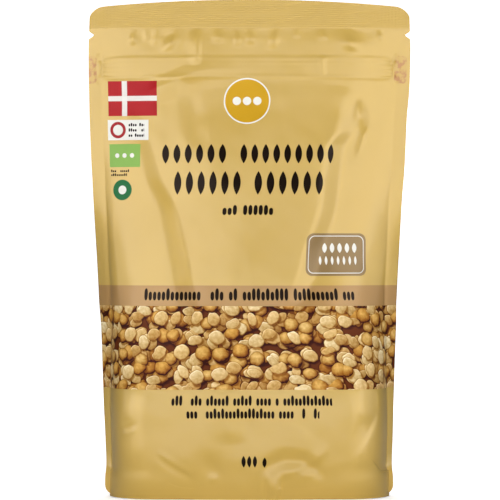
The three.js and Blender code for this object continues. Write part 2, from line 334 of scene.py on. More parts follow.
def waves(x, z, seed, count, length, height):
    """Uneven film: a sum of sine waves of about one length, in seeded random directions.

    Each length is 0.7 to 1.3 times the given one. The root mean square of the sum is the height.
    """
    draw = np.random.default_rng(seed)
    total = np.zeros_like(x)
    for way, size, start in draw.random((count, 3)):
        way, size = math.pi * way, length * (0.7 + 0.6 * size)
        run = x * math.cos(way) + z * math.sin(way)
        total += np.sin(2 * math.pi * (run / size + start))
    return height * total / math.sqrt(count / 2)


def dent_depth(dents, x, z):
    """Sum of the dents: each is a bell over a turned ellipse."""
    total = np.zeros_like(x)
    for (left, low), (length, width), turn, depth in dents:
        turn = math.radians(turn)
        dx, dz = x - left, z - low
        a = (dx * math.cos(turn) + dz * math.sin(turn)) / length
        b = (dz * math.cos(turn) - dx * math.sin(turn)) / width
        total += depth * np.exp(-(a**2) - b**2)
    return total


def zip_height(x, z):
    """The press-to-close strip: a raised band with a soft ridge along its edges and a line inside.

    Its ends are crushed flat in the side seals. Each leaves an eye-shaped groove, around which
    fine creases fan out.
    """
    foot = ZIP_FOOT - ZIP_SAG * (x / FLAT_HALF) ** 2
    middle = (foot + ZIP_TOP) / 2
    band = smooth(z, foot - 0.9, foot + 0.7) * (1 - smooth(z, ZIP_TOP - 0.6, ZIP_TOP + 1.0))
    line = bell(z - ZIP_TOP + 2.8, 0.5) * (0.4 + 0.6 * smooth(x, -10, 20))
    level = (
        ZIP_BAND * band
        + ZIP_TOP_RIDGE * bell(z - ZIP_TOP + 0.7, 0.6)
        + ZIP_LINE * line
        + ZIP_FOOT_RIDGE * bell(z - foot - 0.8, 0.9)
    )
    left, right = ZIP_ENDS
    total = level * smooth(x, left, left + 3) * (1 - smooth(x, right - 3, right))
    for end, inward in ((left, 1), (right, -1)):
        ring = np.hypot((x - end) / EYE_HALVES[0], (z - middle) / EYE_HALVES[1])
        total += EYE_SWELL * np.exp(-(ring**4)) - EYE_GROOVE * bell(ring - 1, 0.3)
        run = inward * (x - end)
        near = np.exp(-run / FAN_REACH) * smooth(run, 1, 2)
        fan = near * (1 - smooth(np.abs(z - middle), 4, 5.5))
        pitch = FAN_PITCH + FAN_SPREAD * run
        total += FAN_HEIGHT * fan * np.cos(2 * np.pi * (z - middle) / pitch)
    return total


def seal_ribs(x, z):
    """The marks of the sealing jaws in the top seal: fine ribs, crossed by others near its ends."""
    inside = smooth(z, TOP_SEAL_FOOT, TOP_SEAL_FOOT + 0.6)
    ends = smooth(np.abs(x), CROSS_FROM, CROSS_TO)
    ribs = RIB_HEIGHT * np.cos(2 * np.pi * z / RIB_PITCH)
    crossing = np.cos(2 * np.pi * x / (CROSS_PITCH * RIB_PITCH))
    cross = CROSS_HEIGHT * RIB_HEIGHT * ends * crossing
    return inside * (ribs + cross)


def pleat_height(x, z):
    """The small pleats that hang from the top seal: each a bell across its own leaning line.

    Down its line a pleat rises evenly from the seal and sinks back beyond its middle.
    """
    total = np.zeros_like(x)
    below = np.clip(TOP_SEAL_FOOT - z, 0, None)
    for at, length, lean, width in TOP_PLEATS:
        share = below / length
        rise = PLEAT_SLOPE * below * (1 - smooth(share, 0.45, 1))
        gap = x - at - lean * share
        total += rise * bell(PLEAT_SHARPNESS * gap, width)
    return total


def wall_out(side, x, z):
    """How far a wall stands out from the seal plane. side is -1 for the front, 1 for the back."""
    line = seal_line(z)
    panel = np.clip(x / line, -1, 1)
    folds, dents = (FRONT_FOLDS, FRONT_DENTS) if side < 0 else (BACK_FOLDS, BACK_DENTS)
    relief = fold_height([fold for fold in folds if not fold.edge], x, z) - dent_depth(dents, x, z)
    for seed, count, length, height in FILM_WAVES:
        relief += waves(x, z, seed + side, count, length, height)
    relief *= smooth(z, 0, FOOT_FADE)
    relief += fold_height([fold for fold in folds if fold.edge], x, z)
    inside, within = (1 - smooth(np.abs(x) - line, -fade, 0) for fade in (BELLY_FADE, TOP_FADE))
    swell = np.maximum(0, belly(panel, z) + inside * relief)
    seen = side * -x  # as seen from the wall's own side
    top = zip_height(seen, z) + within * (fold_height(TOP_RIDGES, seen, z) + pleat_height(seen, z))
    return film_gap(panel, z) + np.maximum(swell + top, -PRESSED) + seal_ribs(x, z)


def wall_points(side, t, z):
    """Points of a wall. |t| is 0 in the middle, SEAL_SHARE at the seal and 1 at the edge.

    Columns stand at sin(t) up to the seal, so that they crowd towards it. Beyond the seal the
    lean is a soft ramp. The bow is a parabola less its average, so that the wall stays in place.
    """
    half = half_width(z)
    line = np.minimum(seal_line(z), half - LEAST_SEAL)
    beyond = (np.abs(t) - SEAL_SHARE) / (1 - SEAL_SHARE)
    crowded = np.sin(np.abs(t) / SEAL_SHARE * COLUMN_TURN) / math.sin(COLUMN_TURN)
    x = np.sign(t) * np.where(
        np.abs(t) <= SEAL_SHARE, crowded * line, line + beyond * (half - line)
    )
    across = x / along(HALF_WIDTHS, z)
    ramp = LEAN_ROUNDING * np.logaddexp(0, (np.abs(x) - seal_line(z)) / LEAN_ROUNDING)
    share = np.where(x < 0, 1, 1 - RIGHT_LOSS * smooth(z, LOSS_FROM, LOSS_TO))
    lean = along(LEANS, z) * ramp * share
    bow = BOW * smooth(z, BOW_FROM, BOW_TO) * (across**2 - 1 / 3)
    arched = (
        z
        - TOP_ARCH * across**2 * smooth(z, TOP_SEAL_FOOT, HEIGHT)
        + FOOT_ARCH * across**2 * (1 - smooth(z, 0, FOOT_ARCH_TOP))
    )
    return np.stack([x + along(SWAYS, z), side * wall_out(side, x, z) + bow + lean, arched], -1)


SEAL_SHARE = 0.9  # of a wall's columns, those within the seals
COLUMN_TURN = math.radians(72)
HALF_COLUMNS = 88
# Steps between the rows of a wall: small at the foot, the strip and the ribs.
ROW_STEPS = [
    (0, 24, 1.0), (24, 176, 1.15), (176, 194, 0.45), (194, TOP_SEAL_FOOT, 0.6),
    (TOP_SEAL_FOOT, HEIGHT, 0.25),
]


def row_heights(coarse):
    """Heights of the rows of a wall. coarse scales their steps."""
    rows = [
        np.linspace(low, high, max(2, round((high - low) / (step * coarse))), endpoint=False)
        for low, high, step in ROW_STEPS
    ]
    return np.concatenate([*rows, [HEIGHT]])


def grid_faces(rows, columns, first=0, flip=False):
    """Quads of a grid of points that is stored row by row."""
    j, i = np.meshgrid(np.arange(rows - 1), np.arange(columns - 1), indexing="ij")
    a = (first + j * columns + i).ravel()
    quads = np.stack([a, a + 1, a + columns + 1, a + columns], -1)
    return quads[:, ::-1] if flip else quads


def border(rows, columns):
    """Indices of a grid's border points, once round."""
    top = (rows - 1) * columns
    return np.concatenate([
        np.arange(columns - 1),
        np.arange(columns - 1, top + columns - 1, columns),
        np.arange(top + columns - 1, top, -1),
        np.arange(top, 0, -columns),
    ])


def shell(name, outer, inner, flip, print_map, bake_map):
    """A closed film: an outer grid, an inner grid behind it, and a rim round both.

    outer and inner are (rows, columns, 3) arrays in millimetres. The maps are (rows, columns, 2).
    """
    rows, columns = outer.shape[:2]
    count = rows * columns
    points = np.concatenate([outer.reshape(-1, 3), inner.reshape(-1, 3)]) * MM
    edge = border(rows, columns)
    after = np.roll(edge, -1)
    rim = np.stack([edge, edge + count, after + count, after], -1)
    faces = np.concatenate([
        grid_faces(rows, columns, 0, flip),
        grid_faces(rows, columns, count, not flip),
        rim[:, ::-1] if flip else rim,
    ])
    mesh = bpy.data.meshes.new(name)
    mesh.vertices.add(len(points))
    mesh.vertices.foreach_set("co", points.astype(np.float32).ravel())
    mesh.loops.add(faces.size)
    mesh.loops.foreach_set("vertex_index", faces.astype(np.int32).ravel())
    mesh.polygons.add(len(faces))
    mesh.polygons.foreach_set("loop_start", np.arange(0, faces.size, 4, dtype=np.int32))
    mesh.polygons.foreach_set("use_smooth", np.ones(len(faces), bool))
    mesh.update(calc_edges=True)
    mesh.validate()
    mesh.set_sharp_from_angle(angle=SHARP_ANGLE)
    corners = faces.ravel()
    flat = print_map.reshape(-1, 2)
    add_map(mesh, PRINT_MAP, np.concatenate([flat, flat])[corners])
    squeezed = bake_map.reshape(-1, 2)
    behind = squeezed * (INNER_SHARE, 1) + (1 - INNER_SHARE, 0)
    front = squeezed * (1 - INNER_SHARE - BAKE_GAP, 1)
    add_map(mesh, "OFBake", np.concatenate([front, behind])[corners])
    piece = bpy.data.objects.new(name, mesh)
    bpy.context.scene.collection.objects.link(piece)
    return piece


PRINT_MAP = "print"
INNER_SHARE, BAKE_GAP = 0.06, 0.03  # of the bake's width: the unseen inner face, and a gap
SHARP_ANGLE = math.radians(55)


def add_map(mesh, name, places):
    """A flat map with a place for each corner of the faces."""
    layer = mesh.uv_layers.new(name=name, do_init=False)
    layer.uv.foreach_set("vector", places.astype(np.float32).ravel())


def flat_map(points, z):
    """(across, up) on the flat film: a row's length from its middle, scaled to the film's edge."""
    step = np.linalg.norm(np.diff(points, axis=1), axis=2)
    run = np.concatenate([np.zeros((len(points), 1)), np.cumsum(step, axis=1)], axis=1)
    run = run - run[:, -1:] / 2
    edge = FLAT_HALF - (along(HALF_WIDTHS, z) - half_width(z))
    return np.stack([run / run[:, -1:] * edge, np.broadcast_to(z, run.shape)], -1)


# ---------------------------------------------------------------- materials


def linear(code):
    """Linear colour from an sRGB hex value."""
    srgb = [int(code[i : i + 2], 16) / 255 for i in (1, 3, 5)]
    return [c / 12.92 if c <= 0.04045 else ((c + 0.055) / 1.055) ** 2.4 for c in srgb]


def rgba(colour):
    return (*colour, 1)


def used_output(node):
    """The output that a node's settings leave in use."""
    return next(socket for socket in node.outputs if socket.enabled)


def node_adder(tree):
    """A function that adds a shader node to the tree, sets its properties and feeds its inputs.

    An input is a value, a socket or a node, in the order of the sockets in use. None leaves one.
    """

    def add(kind, *inputs, **settings):
        made = tree.nodes.new("ShaderNode" + kind)
        for name, value in settings.items():
            setattr(made, name, value)
        for socket, value in zip([s for s in made.inputs if s.enabled], inputs):
            if isinstance(value, bpy.types.Node):
                value = used_output(value)
            if isinstance(value, bpy.types.NodeSocket):
                tree.links.new(value, socket)
            elif value is not None:
                socket.default_value = value
        return made

    return add


def node_group(name, inputs, outputs):
    """An empty node group with its sockets, and its input and output nodes."""
    tree = bpy.data.node_groups.new(name, "ShaderNodeTree")
    for label, kind in inputs.items():
        tree.interface.new_socket(label, in_out="INPUT", socket_type="NodeSocket" + kind)
    for label, kind in outputs.items():
        tree.interface.new_socket(label, in_out="OUTPUT", socket_type="NodeSocket" + kind)
    given, result = tree.nodes.new("NodeGroupInput"), tree.nodes.new("NodeGroupOutput")
    return tree, node_adder(tree), given.outputs, result.inputs


def rounded_box_group():
    """Mask of a box with round corners: the distance to a smaller box, less the corner radius."""
    tree, add, given, result = node_group(
        "rounded box",
        {"Place": "Vector", "Middle": "Vector", "Reach": "Vector", "Radius": "Float"},
        {"Mask": "Float"},
    )
    off = add("VectorMath", given["Place"], given["Middle"], operation="SUBTRACT")
    off = add("VectorMath", off, operation="ABSOLUTE")
    off = add("VectorMath", off, given["Reach"], operation="SUBTRACT")
    off = add("VectorMath", off, (0, 0, 0), operation="MAXIMUM")
    far = add("VectorMath", off, operation="LENGTH").outputs["Value"]
    far = add("Math", far, given["Radius"], operation="SUBTRACT")
    mask = add("MapRange", far, -PRINT_EDGE, PRINT_EDGE, 1.0, 0.0)
    tree.links.new(mask.outputs[0], result["Mask"])
    return tree


PRINT_EDGE = 0.06  # half of the width over which a printed edge fades


def row_cells(add, given):
    """Parts of a row of marks, one in each cell of its pitch.

    They are the place from its middle, the run from its left end, the distance from the nearest
    mark's middle, and 1 within its length.
    """
    off = add("VectorMath", given["Place"], given["Middle"], operation="SUBTRACT")
    parts = add("SeparateXYZ", off).outputs
    half_length = add("Math", given["Length"], 0.5, operation="MULTIPLY")
    start = add("Math", parts["X"], half_length, operation="ADD")
    half_pitch = add("Math", given["Pitch"], 0.5, operation="MULTIPLY")
    wave = add("Math", start, half_pitch, operation="PINGPONG")
    side = add("Math", half_pitch, wave, operation="SUBTRACT")
    within = add("Math", parts["X"], 0.0, half_length, operation="COMPARE")
    return parts, start, side, within


def seed_row_group():
    """Mask of a row of pointed seeds: each is where two equal discs overlap.

    A disc's radius is (height^2 / width + width) / 2, of the seed's half height and half width.
    """
    tree, add, given, result = node_group(
        "seed row",
        {"Place": "Vector", "Middle": "Vector", "Length": "Float", "Pitch": "Float",
         "Half width": "Float", "Half height": "Float"},
        {"Mask": "Float"},
    )
    parts, _, side, within = row_cells(add, given)
    tall = add("Math", given["Half height"], 2.0, operation="POWER")
    ratio = add("Math", tall, given["Half width"], operation="DIVIDE")
    twice = add("Math", ratio, given["Half width"], operation="ADD")
    radius = add("Math", twice, 0.5, operation="MULTIPLY")
    shift = add("Math", radius, given["Half width"], operation="SUBTRACT")
    side = add("Math", side, shift, operation="ADD")
    point = add("CombineXYZ", side, parts["Y"], 0.0)
    far = add("VectorMath", point, operation="LENGTH").outputs["Value"]
    far = add("Math", far, radius, operation="SUBTRACT")
    mask = add("MapRange", far, -PRINT_EDGE, PRINT_EDGE, 1.0, 0.0)
    mask = add("Math", mask, within, operation="MULTIPLY")
    tree.links.new(mask.outputs[0], result["Mask"])
    return tree


def seed_line_group():
    """Mask of a line of small upright grains of two heights, in groups: a hash drops some of them.

    A grain is where (side / half width)^2 + (rise / half height)^3 is below 1.
    """
    tree, add, given, result = node_group(
        "seed line",
        {"Place": "Vector", "Middle": "Vector", "Length": "Float", "Height": "Float",
         "Pitch": "Float", "Seed": "Float"},
        {"Mask": "Float"},
    )
    parts, start, side, within = row_cells(add, given)
    count = add("Math", start, given["Pitch"], operation="DIVIDE")
    whole = add("Math", count, operation="FLOOR")
    key = add("CombineXYZ", whole, given["Seed"], 0.0)
    chance = add("TexWhiteNoise", key, noise_dimensions="2D").outputs
    shade = add("SeparateColor", chance["Color"]).outputs
    kept = add("Math", shade["Red"], DROPPED, operation="GREATER_THAN")
    taller = add("Math", shade["Green"], LOWER, operation="GREATER_THAN")
    lift = add("Math", taller, 1 - LOW_GRAIN, LOW_GRAIN, operation="MULTIPLY_ADD")
    reach = add("Math", lift, given["Height"], operation="MULTIPLY")
    half_reach = add("Math", reach, 0.5, operation="MULTIPLY")
    half_width = add("Math", given["Pitch"], GRAIN_FILL / 2, operation="MULTIPLY")
    side = add("Math", side, half_width, operation="DIVIDE")
    side = add("Math", side, 2.0, operation="POWER")
    bottom = add("Math", given["Height"], -0.5, operation="MULTIPLY")
    rise = add("Math", parts["Y"], bottom, operation="SUBTRACT")
    rise = add("Math", rise, half_reach, operation="SUBTRACT")
    rise = add("Math", rise, half_reach, operation="DIVIDE")
    rise = add("Math", rise, operation="ABSOLUTE")
    rise = add("Math", rise, 3.0, operation="POWER")
    far = add("Math", side, rise, operation="ADD")
    mask = add("MapRange", far, 0.8, 1.25, 1.0, 0.0)
    for other in (kept, within):
        mask = add("Math", mask, other, operation="MULTIPLY")
    tree.links.new(mask.outputs[0], result["Mask"])
    return tree


GRAIN_FILL = 0.8  # share of its pitch that a small grain fills
DROPPED, LOWER, LOW_GRAIN = 0.15, 0.65, 0.72  # shares left out and low, and a low one's height
PEA_SIZE = 6.3  # width of a printed pea, life size


def pea_layer_group():
    """One layer of printed peas: a cell pattern whose cells each hold one lit pea.

    Light is 1 where a pea faces the light. Shape is 1 on a pea. Shadow is 1 where the pea shades
    what lies under it. Its cell's own random colour makes a pea a golden dome or a pale flat half
    with a rounded rim.
    """
    tree, add, given, result = node_group(
        "pea layer",
        {"Place": "Vector", "Shift": "Vector", "Size": "Float"},
        {"Colour": "Color", "Light": "Float", "Shape": "Float", "Shadow": "Float"},
    )
    place = add("VectorMath", given["Place"], given["Shift"], operation="ADD")
    # A slow wobble of the place makes the peas uneven.
    wobble = add("TexNoise", place, 0.3, 1.0, noise_dimensions="2D")
    nudge = add("VectorMath", wobble.outputs["Color"], (0.5, 0.5, 0.5), operation="SUBTRACT")
    nudge = add("VectorMath", nudge, (1.2, 1.2, 0), operation="MULTIPLY")
    place = add("VectorMath", place, nudge, operation="ADD")
    scale = add("Math", 0.86, given["Size"], operation="DIVIDE")
    cells = add("TexVoronoi", place, scale, voronoi_dimensions="2D", feature="F1")
    cells.inputs["Randomness"].default_value = 0.75
    chance = add("SeparateColor", cells.outputs["Color"]).outputs
    off = add("VectorMath", place, cells.outputs["Position"], operation="SUBTRACT")
    # Each pea is turned, up to a little slimmer one way, and of its own size.
    turn = add("Math", chance["Green"], 2 * math.pi, operation="MULTIPLY")
    slim = add("Math", chance["Blue"], 4.0, operation="POWER")
    slim = add("Math", slim, 0.9, 1.08, operation="MULTIPLY_ADD")
    stretch = add("CombineXYZ", 1.0, slim, 0.0)
    radius = add("Math", chance["Red"], 0.13, 0.42, operation="MULTIPLY_ADD")
    radius = add("Math", radius, given["Size"], operation="MULTIPLY")

    def reach(start):
        """Distance from the pea's middle, 1 on its outline."""
        turned = add("VectorRotate", start, None, turn, rotation_type="Z_AXIS")
        oval = add("VectorMath", turned, stretch, operation="MULTIPLY")
        far = add("VectorMath", oval, operation="LENGTH").outputs["Value"]
        return add("Math", far, radius, operation="DIVIDE")

    far = reach(off)
    shape = add("MapRange", far, 0.96, 1.03, 1.0, 0.0)
    # The light of the printed picture comes from the upper left, so the shadow lies lower right.
    below = add("VectorMath", off, (-0.35, 0.7, 0), operation="ADD")
    shadow = add("MapRange", reach(below), 0.95, 1.18, 1.0, 0.0)
    seam = add("MapRange", far, 1.0, 1.16, 0.85, 0.0)
    shadow = add("Math", shadow, seam, operation="MAXIMUM")
    lean = add("VectorMath", off, (-0.36, 0.7, 0), operation="DOT_PRODUCT")
    lean = add("Math", lean.outputs["Value"], radius, operation="DIVIDE")
    # A dome's light: its slope to the lamp, and its height, sqrt(1 - far^2).
    squared = add("Math", far, far, operation="MULTIPLY")
    left = add("Math", 1.0, squared, operation="SUBTRACT", use_clamp=True)
    level = add("Math", left, operation="SQRT")
    facing = add("Math", level, 0.78, operation="MULTIPLY")
    dome = add("Math", lean, 0.6, facing, operation="MULTIPLY_ADD")
    # A flat half's light: one tilt all over, and a rounded rim.
    rim = add("MapRange", far, 0.8, 0.97, 0.0, 1.0)
    tilt = add("Math", chance["Red"], 0.35, 0.6, operation="MULTIPLY_ADD")
    tilt = add("Math", lean, 0.25, tilt, operation="MULTIPLY_ADD")
    edge = add("Math", lean, 0.8, 0.72, operation="MULTIPLY_ADD")
    flat = add("Mix", rim, tilt, edge)
    is_flat = add("Math", chance["Blue"], 0.34, operation="GREATER_THAN")
    light = add("Mix", is_flat, dome, flat)
    grain = add("TexNoise", place, 0.7, 3.0, noise_dimensions="2D")
    mottle = add("Math", grain, 0.55, -0.27, operation="MULTIPLY_ADD")
    light = add("Math", light, mottle, operation="ADD")
    warm = add("Mix", chance["Green"], *PEA_GOLD, data_type="RGBA")
    pale = add("Mix", chance["Green"], *PEA_PALE, data_type="RGBA")
    skin = add("Mix", is_flat, warm, pale, data_type="RGBA")
    tree.links.new(used_output(skin), result["Colour"])
    tree.links.new(light.outputs[0], result["Light"])
    tree.links.new(shape.outputs[0], result["Shape"])
    tree.links.new(shadow.outputs[0], result["Shadow"])
    return tree


# Lightest and deepest colour of the domes, and of the flat halves.
PEA_GOLD = [rgba(linear(code)) for code in ("#f4d48c", "#eab95e")]
PEA_PALE = [rgba(linear(code)) for code in ("#f2deb0", "#eecd8e")]


class Print:
    """What the film's print has come to so far: its colour, metal and varnish at a place."""

    def __init__(self, tree, field, metal, varnish):
        self.add = node_adder(tree)
        self.place = self.add("UVMap", uv_map=PRINT_MAP)
        self.colour = rgba(field)
        self.metal = metal
        self.varnish = varnish
        self.box = rounded_box_group()
        self.seeds = seed_row_group()
        self.grains = seed_line_group()

    def ink(self, mask, colour, metal=0.0, varnish=0.15):
        """Lays an ink over the print where mask is 1."""
        if not isinstance(colour, (bpy.types.Node, bpy.types.NodeSocket)):
            colour = rgba(colour)
        self.colour = self.add("Mix", mask, self.colour, colour, data_type="RGBA")
        self.metal = self.add("Mix", mask, self.metal, metal)
        self.varnish = self.add("Mix", mask, self.varnish, varnish)

    def block(self, left, right, low, high, radius=0.2):
        """Mask of a box with round corners."""
        middle = ((left + right) / 2, (low + high) / 2, 0)
        reach = ((right - left) / 2 - radius, (high - low) / 2 - radius, 0)
        return self.add("Group", self.place, middle, reach, radius, node_tree=self.box)

    def disc(self, across, up, radius):
        """Mask of a disc: a box that is all corner."""
        return self.block(across - radius, across + radius, up - radius, up + radius, radius)

    def seed_row(self, left, right, up, count, height, fill=0.62):
        """Mask of a row of upright pointed seeds."""
        pitch = (right - left) / count
        middle = ((left + right) / 2, up, 0)
        return self.add("Group", self.place, middle, right - left, pitch, fill * pitch / 2,
                        height / 2, node_tree=self.seeds)

    def seed_line(self, left, right, up, height, pitch, seed):
        """Mask of a line of small grains."""
        middle = ((left + right) / 2, up, 0)
        return self.add("Group", self.place, middle, right - left, height, pitch, seed,
                        node_tree=self.grains)


def pea_picture(add, place):
    """A heap of split peas: dark gaps, then layers of peas, each shading what lies below it.

    Shade on peas is warm. A light t scales red by t^0.9, green by t^1.45 and blue by t^2.6.
    """
    layer = pea_layer_group()
    skin = PEA_GOLD[1]
    light = PEA_GAPS
    for number, dim in enumerate(PEA_LAYERS):
        # Each layer takes another part of the pattern.
        shift = (13.7 * number + 3.1, 29.3 * number + 7.7, 0)
        peas = add("Group", place, shift, PEA_SIZE, node_tree=layer).outputs
        keep = add("Math", peas["Shadow"], -PEA_SHADE, 1.0, operation="MULTIPLY_ADD")
        light = add("Math", light, keep, operation="MULTIPLY")
        own = add("Math", peas["Light"], dim, operation="MULTIPLY")
        light = add("Mix", peas["Shape"], light, own)
        skin = add("Mix", peas["Shape"], skin, peas["Colour"], data_type="RGBA")
    light = add("Math", light, PEA_DARKEST, operation="MAXIMUM")
    warm = [add("Math", light, power, operation="POWER") for power in PEA_WARMTH]
    warm = add("CombineXYZ", *warm)
    return add("VectorMath", skin, warm, operation="MULTIPLY")


PEA_GAPS = 0.12  # light on what lies below all layers
PEA_LAYERS = (0.62, 0.76, 0.88, 0.95, 1.0)  # how brightly each layer is lit, from the lowest
PEA_SHADE = 0.58  # share of the light that a pea's shadow takes
PEA_DARKEST = 0.03
PEA_WARMTH = (0.9, 1.45, 2.6)


def film_material(name, colours, draw=None):
    """Printed, satin lacquered and metallised plastic laminate. draw lays its inks, if any.

    The metal under the inks gives broad soft highlights, and the matt lacquer spreads them.
    """
    material = bpy.data.materials.new(name)
    material.use_nodes = True
    tree = material.node_tree
    add = node_adder(tree)
    shader = tree.nodes["Principled BSDF"]
    shader.inputs["Base Color"].default_value = rgba(colours.gold)
    shader.inputs["Metallic"].default_value = BARE_METAL
    shader.inputs["Coat Weight"].default_value = 1.0
    shader.inputs["Coat Roughness"].default_value = 0.25
    shader.inputs["Specular IOR Level"].default_value = 0.1
    if draw:
        art = Print(tree, colours.gold, BARE_METAL, 1.0)
        draw(art, colours)
        made = {"Base Color": art.colour, "Metallic": art.metal, "Coat Weight": art.varnish}
        for socket, node in made.items():
            tree.links.new(used_output(node), shader.inputs[socket])
    space = add("TexCoord").outputs["Object"]
    haze = add("TexNoise", space, 45.0, 4.0)
    rough = add("MapRange", haze, 0.3, 0.7, 0.38, 0.46)
    tree.links.new(rough.outputs[0], shader.inputs["Roughness"])
    grain = add("TexNoise", space, 900.0, 3.0)
    bump = add("Bump", 0.05, 0.0002, None, grain)
    tree.links.new(bump.outputs[0], shader.inputs["Normal"])
    return material


BARE_METAL = 0.05  # how much of the metal shows through the gold ink


def print_bands(art, colours):
    """The picture of peas and the brown band over it, right across the film."""
    peas = pea_picture(art.add, art.place)
    art.ink(art.block(-BEYOND, BEYOND, PICTURE_FOOT, PICTURE_TOP), peas, 0.05, 0.02)
    art.ink(art.block(-BEYOND, BEYOND, PICTURE_TOP, BAND_TOP), colours.band, 0.1, 0.6)


BEYOND = 90  # past both edges of the film
PICTURE_FOOT, PICTURE_TOP, BAND_TOP = 47.0, 82.6, 91.4

# The front's marks in the order in which they are laid: shape, ink, its metal and varnish where
# they aren't the usual ones, and the numbers of each mark.
FRONT_MARKS = [
    ("seed_line", "dark", (0.9,), [
        (-40.4, 48.6, 87.6, 5.2, 1.85, 3.0), (-10.5, 11.6, 123.8, 4.3, 2.2, 8.0),
        (-28.0, 30.4, 42.4, 4.4, 1.4, 11.0), (-24.0, 25.8, 36.9, 4.4, 1.4, 17.0)]),
    ("seed_row", "dark", (0.9,), [
        (-38.3, -8.6, 148.1, 6, 8.4), (-4.3, 37.9, 148.1, 9, 8.4),
        (-32.9, -2.0, 135.5, 6, 10.2), (1.9, 33.3, 135.5, 6, 10.2),
        (-3.1, 3.2, 16.4, 3, 5.0, 0.75), (4.7, 6.8, 16.0, 1, 4.4, 0.75)]),
    # The round badge under the strip, with three plain half peas.
    ("disc", "white", (), [(-0.8, 171.0, 10.0)]),
    ("disc", "ochre", (0.2,), [(-0.8, 171.0, 9.4)]),
    ("disc", "white", (), [(-5.2, 171.0, 1.8), (-0.8, 171.0, 1.8), (3.6, 171.0, 1.8)]),
    # The flag: a white cross on red.
    ("block", "red", (0.15,), [(-61.5, -39.7, 164.7, 179.9, 0.1)]),
    ("block", "white", (), [
        (-55.3, -53.0, 164.7, 179.9, 0.05), (-61.5, -39.7, 171.2, 173.4, 0.05)]),
    # Small plain marks under the flag.
    ("block", "white", (), [(-61.9, -43.5, 154.2, 163.0)]),
    ("block", "green", (), [(-61.3, -46.9, 142.5, 152.5)]),
    ("disc", "red", (), [(-57.2, 158.6, 3.6)]),
    ("disc", "forest", (), [(-55.2, 132.6, 4.45)]),
    ("disc", "white", (), [
        (-57.2, 158.6, 2.3), (-57.6, 147.5, 1.0), (-54.1, 147.5, 1.0), (-50.6, 147.5, 1.0),
        (-55.2, 132.6, 1.9)]),
    ("seed_line", "dark", (0.9,), [
        (-52.4, -45.4, 160.9, 1.5, 0.95, 31.0), (-52.4, -45.4, 158.6, 1.5, 0.95, 32.0),
        (-52.4, -45.4, 156.3, 1.5, 0.95, 33.0), (-60.8, -52.0, 140.9, 1.2, 0.9, 35.0),
        (-60.8, -53.0, 139.2, 1.2, 0.9, 36.0)]),
    # The brown badge with its thin inner line.
    ("block", "brown", (0.1, 0.6), [(26.0, 52.7, 95.5, 113.8, 3.0)]),
    ("block", "white", (), [(27.0, 51.7, 96.5, 112.8, 2.6)]),
    ("block", "brown", (0.1, 0.6), [(27.35, 51.35, 96.85, 112.45, 2.3)]),
    ("seed_row", "white", (), [
        (33.1, 49.0, 107.5, 5, 4.3, 0.6), (31.5, 49.0, 102.1, 7, 3.9, 0.45)]),
]
RUB_MARKS = [(-72, -66.5, 179.0, 191.0, 1.5), (63.0, 68.5, 179.0, 191.0, 1.5)]


def print_front(art, colours):
    """The picture, the marks over it, and rub marks where the strip's ends are crushed."""
    print_bands(art, colours)
    for shape, ink, finish, marks in FRONT_MARKS:
        for mark in marks:
            art.ink(getattr(art, shape)(*mark), getattr(colours, ink), *finish)
    spots = art.add("TexNoise", art.place, 0.45, 3.0, noise_dimensions="2D")
    spots = art.add("MapRange", spots, 0.42, 0.62, 0.1, 0.7)
    for mark in RUB_MARKS:
        worn = art.add("Math", art.block(*mark), spots, operation="MULTIPLY")
        art.ink(worn, colours.worn, 0.05, 0.8)


def print_back(art, colours):
    """The picture, and a panel with rows of grains."""
    print_bands(art, colours)
    art.ink(art.block(*BACK_PANEL), colours.cream, 0.1)
    for number, up in enumerate(BACK_ROWS):
        art.ink(art.seed_line(-41, 41, up, 2.6, 1.2, 40.0 + number), colours.dark, 0.9)


BACK_PANEL = (-46, 46, 104, 172, 2.0)
BACK_ROWS = range(166, 108, -5)


# ---------------------------------------------------------------- settings


def ink_setting(name, description, code):
    """A colour that a user can change. Its default is an sRGB hex value."""
    return FloatVectorProperty(name=name, description=description, subtype="COLOR", min=0, max=1,
                               default=linear(code))


def power_setting(name, description, watts):
    """The power of a light that a user can change."""
    return FloatProperty(name=name, description=description + " in watts", default=watts, min=0)


class PouchColours(bpy.types.PropertyGroup):
    """The inks and the film."""

    gold: ink_setting("Gold", "Gold field of the film", "#d2ae56")
    band: ink_setting("Band", "Brown band over the picture", "#b58c53")
    brown: ink_setting("Brown", "Brown badge", "#8f7242")
    ochre: ink_setting("Ochre", "Round badge", "#d3a21c")
    red: ink_setting("Red", "Flag red", "#a80f17")
    green: ink_setting("Green", "Light green mark", "#8fbd58")
    forest: ink_setting("Dark green", "Dark green mark", "#0a6b35")
    white: ink_setting("White", "Opaque white ink", "#f4f2ea")
    cream: ink_setting("Cream", "Panel on the back", "#efe6cb")
    worn: ink_setting("Worn", "Rubbed film at the strip's ends", "#b9764a")
    dark: ink_setting("Dark", "Near-black brown of the marks", "#1f140b")


class StageSettings(bpy.types.PropertyGroup):
    """The camera and the light."""

    distance: FloatProperty(
        name="Camera distance", description="From the lens to the middle of the pouch",
        default=1.5, min=0.3, unit="LENGTH")
    key_light: power_setting("Key light", "Power of the broad front light", 14.9)
    side_light: power_setting("Side light", "Power of each side softbox", 7.0)
    wing_light: power_setting("Wing light", "Power of each softbox square to the sides", 2.6)
    gleam_light: power_setting("Gleam light", "Power of the softbox that the belly reflects", 2.4)
    back_light: power_setting("Back light", "Power of the softbox over the back", 11.0)
    sky: FloatProperty(
        name="Sky", description="Strength of the even white light", default=0.2, min=0)


# ---------------------------------------------------------------- pieces


def dress(piece, material):
    """Puts a finished piece on the pouch's body in place of its solid."""
    piece.data.materials.append(material)
    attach(piece, "root")
    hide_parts("pouch")


